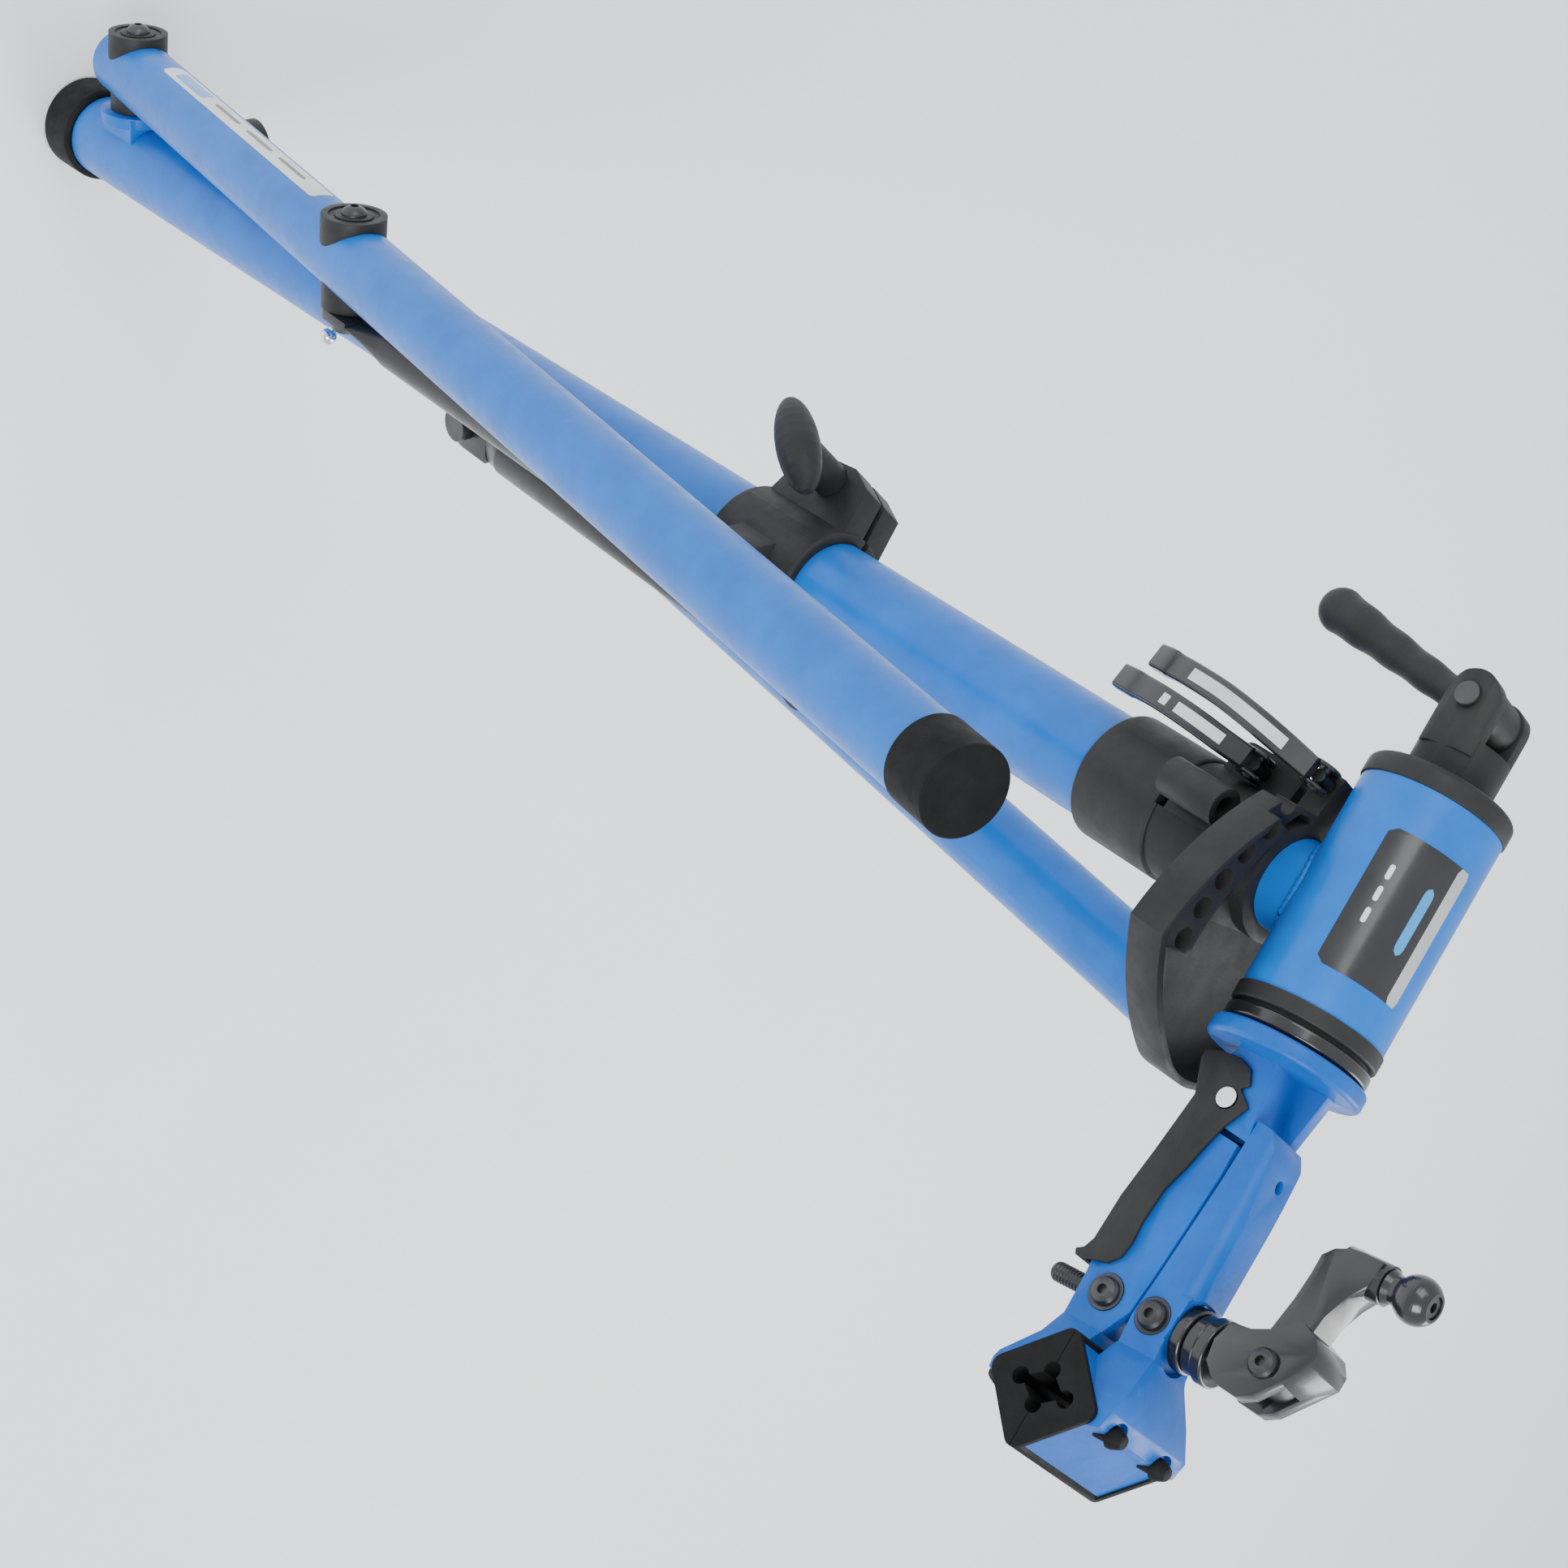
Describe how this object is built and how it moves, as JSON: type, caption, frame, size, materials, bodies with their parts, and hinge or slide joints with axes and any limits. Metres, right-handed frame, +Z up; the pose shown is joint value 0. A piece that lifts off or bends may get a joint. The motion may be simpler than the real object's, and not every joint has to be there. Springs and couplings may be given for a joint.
{
  "type": "bicycle repair stand",
  "caption": "Folding bicycle repair stand: telescoping mast, fold-out legs with struts, tool tray and a turning clamp head with hinged padded jaws.",
  "frame": {"origin": "centre of the mast foot where it stands on the floor", "axes": "+Z up the mast, -Y towards the clamp jaws (front), -X towards leg 1"},
  "size_m": [0.2912, 0.3353, 1.1277],
  "materials": {
    "blue_paint": "gloss powder coat",
    "black_paint": "satin powder coat",
    "black_composite": "fine texture",
    "gloss_black": "gloss",
    "black_rubber": "matte",
    "chrome": "bright",
    "steel_dark": "black oxide"
  },
  "bodies": {
    "stand": {"outer_mast": "blue_paint", "foot_cap": "black_rubber", "collar_stop_pin": "chrome", "mast_sleeve": "black_composite", "mast_skewer": "steel_dark", "leg_1_ear": "blue_paint", "leg_2_ear": "blue_paint", "leg_1_root_bolt": "steel_dark", "leg_2_root_bolt": "steel_dark"},
    "leg_1": {"leg_1_tube": "blue_paint", "leg_1_end_cap": "black_rubber", "leg_1_saddles": "black_composite", "leg_1_spacers": "black_composite", "leg_1_mid_bolt": "steel_dark"},
    "leg_2": {"leg_2_tube": "blue_paint", "leg_2_end_cap": "black_rubber", "leg_2_saddles": "black_composite", "leg_2_spacers": "black_composite", "leg_2_mid_bolt": "steel_dark"},
    "strut_1": {"strut_1": "black_paint", "strut_1_link_bolt": "steel_dark"},
    "strut_2": {"strut_2": "black_paint", "strut_2_link_bolt": "steel_dark"},
    "collar": {"sliding_collar": "black_composite", "collar_nut": "steel_dark"},
    "collar_knob": {"collar_knob": "black_composite", "collar_screw": "steel_dark"},
    "head": {"inner_mast": "blue_paint", "mast_glide": "black_composite", "head_barrel": "blue_paint", "barrel_rear_cap": "black_composite", "barrel_front_bush": "black_composite", "tool_tray": "black_composite", "tray_skewer": "steel_dark"},
    "mast_lever": {"mast_lever": "gloss_black", "mast_lever_pin": "steel_dark"},
    "tray_lever": {"tray_lever": "gloss_black", "tray_lever_pin": "steel_dark"},
    "clamp": {"clamp_shaft": "steel_dark", "friction_washer": "gloss_black", "fixed_jaw": "blue_paint", "fixed_jaw_pad": "black_rubber", "jaw_pivot_pin": "chrome"},
    "moving_arm": {"moving_jaw": "blue_paint", "moving_jaw_pad": "black_rubber", "moving_jaw_cover": "black_composite"},
    "upper_trunnion": {"fixed_trunnion": "steel_dark"},
    "lower_trunnion": {"moving_trunnion": "steel_dark"},
    "spindle": {"clamp_spindle": "steel_dark", "spindle_rings": "gloss_black"},
    "crank": {"crank": "gloss_black", "crank_bolt": "steel_dark", "knob_screw": "steel_dark"},
    "knob": {"crank_knob": "gloss_black"},
    "yoke": {"tightening_yoke": "black_composite", "yoke_pin": "steel_dark"},
    "handle": {"locking_handle": "black_composite"}
  },
  "joints": [
    {"name": "leg_1_fold", "type": "hinge", "parent": "stand", "child": "leg_1", "pos_m": [-0.03692, 0.03247, 0.07], "axis": [0.6947, -0.7193, 0], "range_deg": [0, 85]},
    {"name": "leg_2_fold", "type": "hinge", "parent": "stand", "child": "leg_2", "pos_m": [0.03692, 0.03247, 0.07], "axis": [0.6947, 0.7193, 0], "range_deg": [0, 85]},
    {"name": "strut_1_fold", "type": "hinge", "parent": "leg_1", "child": "strut_1", "pos_m": [-0.04997, -0.01698, 0.36983], "axis": [0.6947, -0.7193, 0], "range_deg": [-145.11, 0]},
    {"name": "strut_2_fold", "type": "hinge", "parent": "leg_2", "child": "strut_2", "pos_m": [0.04997, -0.01698, 0.36983], "axis": [0.6947, 0.7193, 0], "range_deg": [-145.11, 0]},
    {"name": "collar_slide", "type": "slide", "parent": "stand", "child": "collar", "axis": [0, 0, 1], "range_m": [-0.4528, 0]},
    {"name": "collar_knob_turn", "type": "hinge", "parent": "collar", "child": "collar_knob", "pos_m": [-0.043, 0.0395, 0.663], "axis": [-1, 0, 0], "continuous": true},
    {"name": "mast_height", "type": "slide", "parent": "stand", "child": "head", "axis": [0, 0, 1], "range_m": [0, 0.45]},
    {"name": "mast_lock", "type": "hinge", "parent": "stand", "child": "mast_lever", "pos_m": [-0.018, 0.028, 0.939], "axis": [0, 0.9998, 0.0209], "range_deg": [0, 90]},
    {"name": "tray_lock", "type": "hinge", "parent": "head", "child": "tray_lever", "pos_m": [-0.021, 0.0365, 0.968], "axis": [0, 0.9962, 0.0872], "range_deg": [0, 105]},
    {"name": "clamp_turn", "type": "hinge", "parent": "head", "child": "clamp", "pos_m": [0, 0, 1.01], "axis": [0, -0.9871, 0.1599], "continuous": true},
    {"name": "jaw_swing", "type": "hinge", "parent": "clamp", "child": "moving_arm", "pos_m": [0, -0.08034, 1.01744], "axis": [1, 0, 0], "range_deg": [0, 23]},
    {"name": "upper_trunnion_tilt", "type": "hinge", "parent": "clamp", "child": "upper_trunnion", "pos_m": [0, -0.15849, 1.04783], "axis": [1, 0, 0], "range_deg": [0, 8.87]},
    {"name": "spindle_turn", "type": "hinge", "parent": "upper_trunnion", "child": "spindle", "pos_m": [0, -0.15849, 1.04783], "axis": [0, 0.1599, 0.9871], "continuous": true},
    {"name": "lower_trunnion_tilt", "type": "hinge", "parent": "moving_arm", "child": "lower_trunnion", "pos_m": [0, -0.16201, 1.02611], "axis": [1, 0, 0], "range_deg": [-14.34, 0]},
    {"name": "crank_cam", "type": "hinge", "parent": "spindle", "child": "crank", "pos_m": [0, -0.14785, 1.09473], "axis": [1, 0, 0], "range_deg": [0, 90]},
    {"name": "knob_spin", "type": "hinge", "parent": "crank", "child": "knob", "pos_m": [0, -0.09824, 1.11962], "axis": [0, 0.1599, 0.9871], "continuous": true},
    {"name": "yoke_turn", "type": "hinge", "parent": "clamp", "child": "yoke", "pos_m": [0, 0.0918, 0.99513], "axis": [0, -0.9871, 0.1599], "continuous": true},
    {"name": "handle_flip", "type": "hinge", "parent": "yoke", "child": "handle", "pos_m": [0, 0.0918, 0.99513], "axis": [1, 0, 0], "range_deg": [0, 157]}
  ],
  "couplings": [
    {"joint": "leg_2_fold", "follows": "leg_1_fold", "ratio": 1},
    {"joint": "strut_1_fold", "follows": "leg_1_fold", "ratio": -1.706},
    {"joint": "strut_2_fold", "follows": "leg_1_fold", "ratio": -1.706},
    {"joint": "collar_slide", "follows": "leg_1_fold", "m_per_rad": -0.30504},
    {"joint": "upper_trunnion_tilt", "follows": "jaw_swing", "ratio": 0.38109},
    {"joint": "lower_trunnion_tilt", "follows": "jaw_swing", "ratio": -0.61891}
  ]
}
